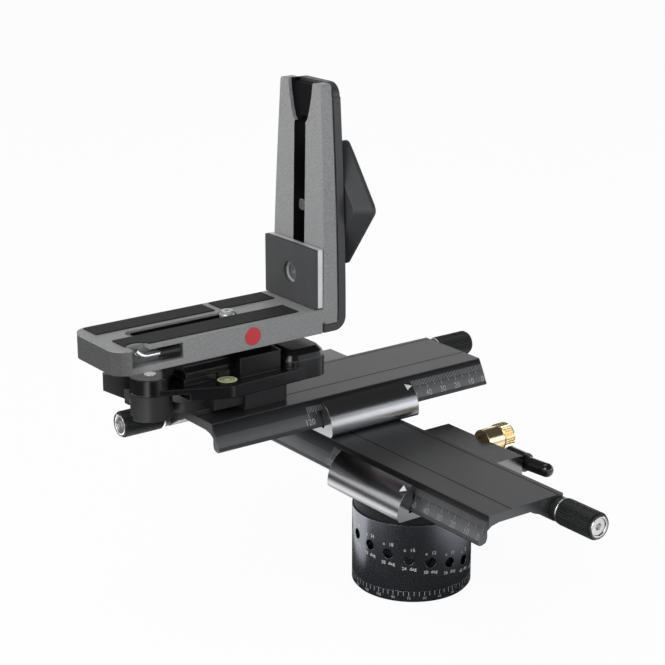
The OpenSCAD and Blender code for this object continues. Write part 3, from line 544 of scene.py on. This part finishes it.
def turned_ring(name, place, axis, outline, finish, body, sides=40):
    """A turned ring: a closed outline of (radius, along) points spun about an axis."""
    turn = Vector((0, 0, 1)).rotation_difference(Vector(axis)).to_matrix().to_4x4()
    spot = Matrix.Translation(place) @ turn
    points = []
    faces = []
    for radius, along in outline:
        for i in range(sides):
            angle = 2 * math.pi * i / sides
            points.append(spot @ Vector((radius * math.cos(angle), radius * math.sin(angle),
                                         along)))
    count = len(outline)
    for ring in range(count):
        above = (ring + 1) % count * sides
        for i in range(sides):
            turn_on = (i + 1) % sides
            faces.append((ring * sides + i, ring * sides + turn_on, above + turn_on, above + i))
    return new_piece(name, points, faces, finish, body, smooth=True)


# ---------------------------------------------------------------- settings

def colour_property(name, text, value):
    return bpy.props.FloatVectorProperty(name=name, description=text, default=value, min=0.0,
                                         max=1.0, size=3, subtype="COLOR")


def length_property(name, text, value):
    return bpy.props.FloatProperty(name=name, description=text, default=value, min=0.0,
                                   unit="LENGTH", subtype="DISTANCE")


class PanHeadLooks(bpy.types.PropertyGroup):
    plate: colour_property("Plate", "Anodised scale plates", (0.11, 0.112, 0.116))
    carriage: colour_property("Carriage", "Gloss anodised carriages", (0.26, 0.262, 0.27))
    knob: colour_property("Knobs", "Knurled lead screw knobs", (0.02, 0.021, 0.022))
    housing: colour_property("Housing", "Rotator housing and ring", (0.2, 0.21, 0.235))
    bracket: colour_property("Bracket", "Cast bracket", (0.27, 0.272, 0.276))
    band: colour_property("Band", "Back band of the bracket", (0.045, 0.046, 0.049))
    pad: colour_property("Pads", "Rubber pads on the arm", (0.018, 0.018, 0.019))
    clamp_pad: colour_property("Clamp pad", "Pad of the clamp plate", (0.045, 0.046, 0.048))
    clamp_metal: colour_property("Clamp backing", "Backing of the clamp plate",
                                 (0.7, 0.7, 0.71))
    grip: colour_property("Grip", "Soft grip of the clamp knob", (0.045, 0.046, 0.048))
    release: colour_property("Quick release", "Black casting", (0.005, 0.005, 0.006))
    release_grey: colour_property("Release base", "Grey casting", (0.02, 0.0205, 0.022))
    lever: colour_property("Levers", "Gloss release levers", (0.008, 0.008, 0.009))
    brass: colour_property("Brass", "Lock knobs", (0.86, 0.7, 0.42))
    steel: colour_property("Steel", "Turned steel", (0.72, 0.72, 0.73))
    chrome: colour_property("Chrome", "Hex key and studs", (0.75, 0.76, 0.77))
    badge: colour_property("Badge", "Round badge on the arm", (0.6, 0.02, 0.035))
    print_white: colour_property("Print", "Printed scales and numbers", (0.62, 0.63, 0.64))
    level: colour_property("Level", "Liquid of the bubble level", (0.88, 0.95, 0.55))


class PanHeadMarks(bpy.types.PropertyGroup):
    number_size: length_property("Number size", "Height of the slide numbers", 4.2 * MM)
    label_size: length_property("Label size", "Height of the index labels", 2.5 * MM)
    ring_size: length_property("Ring number size", "Height of the ring numbers", 2.0 * MM)
    tick_wide: length_property("Tick width", "Width of a printed line", 0.22 * MM)


class PanHeadStudio(bpy.types.PropertyGroup):
    floor_shade: colour_property("Floor", "Pale floor", (0.85, 0.85, 0.85))
    key_power: bpy.props.FloatProperty(name="Key lamp", description="Power of the key lamp",
                                       default=8.0, min=0.0, unit="POWER")
    fill_power: bpy.props.FloatProperty(name="Fill lamp", description="Power of the fill lamp",
                                        default=3.0, min=0.0, unit="POWER")
    strip_power: bpy.props.FloatProperty(name="Strip lamps", description="Power of the strips",
                                         default=2.5, min=0.0, unit="POWER")
    ambient: bpy.props.FloatProperty(name="Ambient", description="Soft light from all round",
                                     default=0.5, min=0.0, max=1.0, subtype="FACTOR")


# ---------------------------------------------------------------- operators

class PANHEAD_OT_finishes(bpy.types.Operator):
    """Give every carried-over piece of the head its finish"""
    bl_idname = "panhead.finishes"
    bl_label = "Dress the pieces"

    def execute(self, context):
        make_materials(context.scene.panhead_looks)
        dressed = set()
        for finish, names in NODE_FINISH.items():
            for name in names:
                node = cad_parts[name]
                node.data.materials.clear()
                node.data.materials.append(material(finish))
                dressed.add(name)
        bare = set(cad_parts) - dressed
        if bare:
            raise RuntimeError("pieces without a finish: " + ", ".join(sorted(bare)))
        return {"FINISHED"}


class PANHEAD_OT_slide_scales(bpy.types.Operator):
    """Print the millimetre scales and the pointers of both slides"""
    bl_idname = "panhead.slide_scales"
    bl_label = "Print the slide scales"

    def execute(self, context):
        marks = context.scene.panhead_marks
        for slide in ("lower", "upper"):
            self.print_scale(slide, marks)
            self.print_pointer(slide)
            self.print_seams(slide)
        return {"FINISHED"}

    def print_scale(self, slide, marks):
        scale = Print()
        for reading in range(TRAVEL + 1):
            length = TICK_LENGTHS[(reading % 5 == 0) + (reading % 10 == 0)]
            lay = on_skirt(slide, (reading + TICK_SHIFT) * MM)
            scale.stroke(lay, 0, -(TICK_TOP + length) * MM, -TICK_TOP * MM, marks.tick_wide)
            if reading % 10 == 0 and reading:
                scale.words(lay, str(reading), 0, -NUMBER_DROP, marks.number_size)
        zero = on_skirt(slide, ZERO_READING * MM)
        scale.words(zero, "0", 0, -NUMBER_DROP, marks.number_size)
        finish = "print_faint" if slide == "lower" else "print_dim"
        scale.piece(slide + "_scale_print", slide + "_slide", "plate_grey", finish)

    def print_seams(self, slide):
        """Painted shade: dark lines in the two fine grooves along a plate's top."""
        shade_lines = Print()
        place = slide_place(slide)
        for inward in GROOVES:
            shade_lines.stroke(lambda across, up, inward=inward: place(inward + across, up, PRINT_RISE),
                         0, *GROOVE_SPAN, GROOVE_WIDE, 1)
        shade_lines.piece(slide + "_seams", slide + "_slide", "plate_grey", "groove_shade")

    def print_pointer(self, slide):
        """A white arrow on the bulge, drawn in strips, that points at the scale."""
        pointer = Print()
        low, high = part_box(slide + "_carriage")
        carriage_end = low.y if slide == "lower" else high.x
        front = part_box(slide + "_plate")[0]
        body = "rotor" if slide == "lower" else "lower_slide"
        radius = BULGE_RADIUS + PRINT_RISE
        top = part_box(slide + "_plate")[1].z

        def lay(ahead, up):
            angle = math.radians(POINTER_TURN) - up / radius
            inward = BULGE_CENTRE[0] + radius * math.cos(angle)
            rise = BULGE_CENTRE[1] + radius * math.sin(angle)
            if slide == "lower":
                return Vector((front.x + SKIRT_OUT + inward,
                               carriage_end + POINTER_BACK - ahead, top + rise))
            return Vector((carriage_end - POINTER_BACK + ahead,
                           front.y + SKIRT_OUT + inward, top + rise))
        strip = 2 * POINTER_HALF / POINTER_STRIPS
        for i in range(POINTER_STRIPS):
            up, above = -POINTER_HALF + strip * i, -POINTER_HALF + strip * (i + 1)
            pointer.patch(lay, [(POINTER_TAIL, up), (POINTER_TIP - 2 * abs(up), up),
                                (POINTER_TIP - 2 * abs(above), above), (POINTER_TAIL, above)])
        pointer.piece(slide + "_pointer", body, "carriage_black")


class PANHEAD_OT_rotator_marks(bpy.types.Operator):
    """Print the degree ring and the labels beside the index holes"""
    bl_idname = "panhead.rotator_marks"
    bl_label = "Print the rotator's marks"

    def execute(self, context):
        marks = context.scene.panhead_marks
        ring_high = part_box("scale_ring")[1]
        radius = ring_high.x
        ring = Print()
        for angle in range(0, 360, RING_STEP):
            lay = on_drum(radius, RING_ZERO - angle, ring_high.z)
            ring.stroke(lay, 0, -2.5 * MM, -0.25 * MM, marks.tick_wide * 1.2, 1)
            if angle % 15 == 0:
                ring.words(lay, str(angle), 0, -3.8 * MM, marks.ring_size)
        ring.piece("ring_print", "scale_ring", "ring_black", "print_dim")
        labels = Print()
        for row, stops in enumerate(STOPS):
            turn = FIRST_HOLE + HOLE_STEP * row
            lay = on_drum(radius, turn, HOLE_TOP - HOLE_DROP * row)
            labels.words(lay, "x   %d" % stops, 0, LABEL_OFF, marks.label_size)
            labels.words(lay, "%d  deg" % (360 // stops), 0, -LABEL_OFF, marks.label_size)
        labels.piece("index_labels", "rotor", "housing_black")
        return {"FINISHED"}


class PANHEAD_OT_knob_ends(bpy.types.Operator):
    """Turn the bright rings at the inner ends of the lead screw knobs and in their cups"""
    bl_idname = "panhead.knob_ends"
    bl_label = "Turn the knob ends"

    KNOBS = (("lower_near_knob", "lower_screw", (0, -1, 0)),
             ("lower_far_knob", "lower_screw", (0, 1, 0)),
             ("upper_right_knob", "upper_screw", (1, 0, 0)),
             ("upper_left_knob", "upper_screw", (-1, 0, 0)))
    NECK_RING = ((6.38, 3.6), (6.7, 3.75), (6.85, 4.1), (6.85, 4.6), (6.7, 4.85), (6.38, 4.9))
    CUP_RING = ((4.66, -1.9), (4.66, -0.35), (4.75, -0.02), (5.5, -0.02), (5.6, 0.04),
                (4.6, 0.06), (4.5, -0.3), (4.5, -1.9))

    def execute(self, context):
        for name, body, way in self.KNOBS:
            low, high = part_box(name)
            middle = (low + high) / 2
            out = Vector(way)
            half = abs((high - low).dot(out)) / 2
            self.ring(name + "_ring", middle - out * (half + 0.3 * MM), out, self.NECK_RING, body)
            self.ring(name + "_cup", middle + out * half, out, self.CUP_RING, body)
        return {"FINISHED"}

    def ring(self, name, place, out, outline, body):
        turned_ring(name, place, out, [(r * MM, a * MM) for r, a in outline], "steel", body)


class PANHEAD_OT_studio(bpy.types.Operator):
    """Set up the pale floor, the soft lamps, the world and the camera"""
    bl_idname = "panhead.studio"
    bl_label = "Set up the studio"

    def execute(self, context):
        scene = context.scene
        studio = scene.panhead_studio
        scene.view_settings.view_transform = "Standard"
        self.floor(studio)
        self.world(scene, studio)
        self.lamp("key_lamp", (-1.0, -0.4, 0.9), (0.7, 0.7), studio.key_power)
        self.lamp("left_strip", (-1.1, 0.16, 0.25), (0.16, 0.9), studio.strip_power)
        self.lamp("right_strip", (0.85, -0.95, 0.3), (0.2, 0.8), studio.strip_power * 0.35,
                  (0.9, 0.94, 1.0))
        self.lamp("top_lamp", (0.1, 0.5, 1.3), (0.9, 0.9), studio.fill_power)
        self.camera(scene)
        return {"FINISHED"}

    def floor(self, studio):
        half = 4.0
        data = bpy.data.meshes.new("floor")
        low = -0.2 * MM
        data.from_pydata([(-half, -half, low), (half, -half, low), (half, half, low),
                          (-half, half, low)], [], [(0, 1, 2, 3)])
        floor = bpy.data.objects.new("floor", data)
        bpy.context.scene.collection.objects.link(floor)
        paint = bpy.data.materials.new("floor_paint")
        desk = NodeDesk(paint)
        shader = desk.add("ShaderNodeBsdfPrincipled")
        shader.inputs["Roughness"].default_value = 0.8
        cloud = desk.noise(desk.place((1, 1, 1)), 3.0)
        pale = tuple(studio.floor_shade)
        desk.link(desk.ramp(cloud, shade(pale, 0.99), shade(pale, 1.01)),
                  shader.inputs["Base Color"])
        glow = desk.add("ShaderNodeEmission")
        glow.inputs["Strength"].default_value = 1.0
        mix = desk.add("ShaderNodeMixShader")
        desk.link(desk.math("MULTIPLY", self.shown(desk), 0.95), mix.inputs["Fac"])
        desk.link(shader.outputs["BSDF"], mix.inputs[1])
        desk.link(glow.outputs["Emission"], mix.inputs[2])
        card = desk.add("ShaderNodeEmission")
        desk.link(self.cards(desk), card.inputs["Strength"])
        whole = desk.add("ShaderNodeMixShader")
        path = desk.add("ShaderNodeLightPath")
        desk.link(path.outputs["Is Glossy Ray"], whole.inputs["Fac"])
        desk.link(mix.outputs["Shader"], whole.inputs[1])
        desk.link(card.outputs["Emission"], whole.inputs[2])
        desk.link(whole.outputs["Shader"], desk.output.inputs["Surface"])
        data.materials.append(paint)
        floor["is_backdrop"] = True

    def cards(self, desk):
        """How bright the floor shows in mirrored light, from the picture's left to its right."""
        x, y, z = desk.position()
        turn = math.radians(CAMERA_HEADING)
        right = desk.math("ADD", desk.math("MULTIPLY", x, math.cos(turn)),
                          desk.math("MULTIPLY", y, -math.sin(turn)))
        band = desk.add("ShaderNodeValToRGB")
        stops = band.color_ramp.elements
        for stop, tone in zip(stops, FLOOR_ENDS):
            stop.color = (tone, tone, tone, 1)
        for position, tone in FLOOR_TONES:
            stops.new(position).color = (tone, tone, tone, 1)
        desk.link(desk.math("MULTIPLY_ADD", right, 1 / FLOOR_SPAN, 0.5), band.inputs["Fac"])
        near = desk.math("MULTIPLY", desk.math("ADD", desk.math("MULTIPLY", x, math.sin(turn)),
                                               desk.math("MULTIPLY", y, math.cos(turn))), -1.0)
        behind = desk.math("LESS_THAN", near, CARD_NEAR)
        left = desk.math("MULTIPLY", desk.math("LESS_THAN", right, CARD_SPAN[1]),
                         desk.math("GREATER_THAN", right, CARD_SPAN[0]))
        card = desk.math("MULTIPLY", desk.math("MULTIPLY", behind, left), CARD_TONE)
        return desk.math("ADD", band.outputs["Color"], card)

    def shown(self, desk):
        """1 where a ray shows the background, straight or through glass."""
        path = desk.add("ShaderNodeLightPath")
        return desk.math("MAXIMUM", path.outputs["Is Camera Ray"],
                         path.outputs["Is Transmission Ray"])

    def world(self, scene, studio):
        """White behind the head; mirrored, a bright band at the horizon, softer at the rear."""
        world = bpy.data.worlds.new("studio")
        scene.world = world
        desk = NodeDesk(world, "ShaderNodeOutputWorld")
        height = desk.add("ShaderNodeSeparateXYZ")
        desk.link(desk.add("ShaderNodeTexCoord").outputs["Generated"], height.inputs["Vector"])
        band = desk.add("ShaderNodeValToRGB")
        stops = band.color_ramp.elements
        stops[0].position, stops[0].color = 0.0, (0.8, 0.8, 0.8, 1)
        stops[1].position, stops[1].color = 0.21, (1, 1, 1, 1)
        for position, tone in HORIZON_TONES:
            stops.new(position).color = (tone, tone, tone, 1)
        desk.link(height.outputs["Z"], band.inputs["Fac"])
        mirrored = desk.add("ShaderNodeBackground")
        desk.link(band.outputs["Color"], mirrored.inputs["Color"])
        desk.link(desk.fall(height.outputs["Y"], *HORIZON_REAR), mirrored.inputs["Strength"])
        soft = desk.add("ShaderNodeBackground")
        soft.inputs["Color"].default_value = (1, 1, 1, 1)
        soft.inputs["Strength"].default_value = studio.ambient
        white = desk.add("ShaderNodeBackground")
        white.inputs["Color"].default_value = (1, 1, 1, 1)
        path = desk.add("ShaderNodeLightPath")
        for share, base, layer in (("Is Glossy Ray", soft, mirrored),
                                   ("Is Camera Ray", None, white),
                                   ("Is Transmission Ray", None, white)):
            mix = desk.add("ShaderNodeMixShader")
            desk.link(path.outputs[share], mix.inputs["Fac"])
            desk.link(base.outputs[0] if base else last.outputs[0], mix.inputs[1])
            desk.link(layer.outputs[0], mix.inputs[2])
            last = mix
        desk.link(last.outputs[0], desk.output.inputs["Surface"])

    def lamp(self, name, place, size, power, colour=(1, 1, 1)):
        data = bpy.data.lights.new(name, "AREA")
        data.shape = "RECTANGLE"
        data.size, data.size_y = size
        data.energy = power
        data.color = colour
        lamp = bpy.data.objects.new(name, data)
        lamp.location = place
        aim = Vector(LAMP_AIM) - Vector(place)
        lamp.rotation_euler = aim.to_track_quat("-Z", "Y").to_euler()
        bpy.context.scene.collection.objects.link(lamp)

    def camera(self, scene):
        data = bpy.data.cameras.new("camera")
        data.lens = CAMERA_LENS
        data.sensor_width = 36
        data.clip_start = 0.01
        camera = bpy.data.objects.new("camera", data)
        camera.location = CAMERA_PLACE
        camera.rotation_euler = (math.radians(90 - CAMERA_DROP), 0,
                                 math.radians(-CAMERA_HEADING))
        scene.collection.objects.link(camera)
        scene.camera = camera


class PANHEAD_PT_panel(bpy.types.Panel):
    """Buttons for the head's finish, marks and studio"""
    bl_idname = "PANHEAD_PT_panel"
    bl_label = "Panoramic head"
    bl_space_type = "VIEW_3D"
    bl_region_type = "UI"
    bl_category = "Pan Head"

    def draw(self, context):
        for step in STEPS:
            self.layout.operator(step.bl_idname)


STEPS = (PANHEAD_OT_finishes, PANHEAD_OT_slide_scales, PANHEAD_OT_rotator_marks,
         PANHEAD_OT_knob_ends, PANHEAD_OT_studio)
GROUPS = {"panhead_looks": PanHeadLooks, "panhead_marks": PanHeadMarks,
          "panhead_studio": PanHeadStudio}


def register():
    for group in GROUPS.values():
        bpy.utils.register_class(group)
    for name, group in GROUPS.items():
        setattr(bpy.types.Scene, name, bpy.props.PointerProperty(type=group))
    for step in STEPS:
        bpy.utils.register_class(step)
    bpy.utils.register_class(PANHEAD_PT_panel)


def unregister():
    bpy.utils.unregister_class(PANHEAD_PT_panel)
    for step in reversed(STEPS):
        bpy.utils.unregister_class(step)
    for name, group in GROUPS.items():
        delattr(bpy.types.Scene, name)
        bpy.utils.unregister_class(group)


def corners(box):
    return [list(corner) for corner in box]


def main():
    register()
    for step in STEPS:
        group, action = step.bl_idname.split(".")
        getattr(getattr(bpy.ops, group), action)()
    {"cad": corners(CAD_BOX), "visual": corners(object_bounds())}


if __name__ == "__main__":
    main()
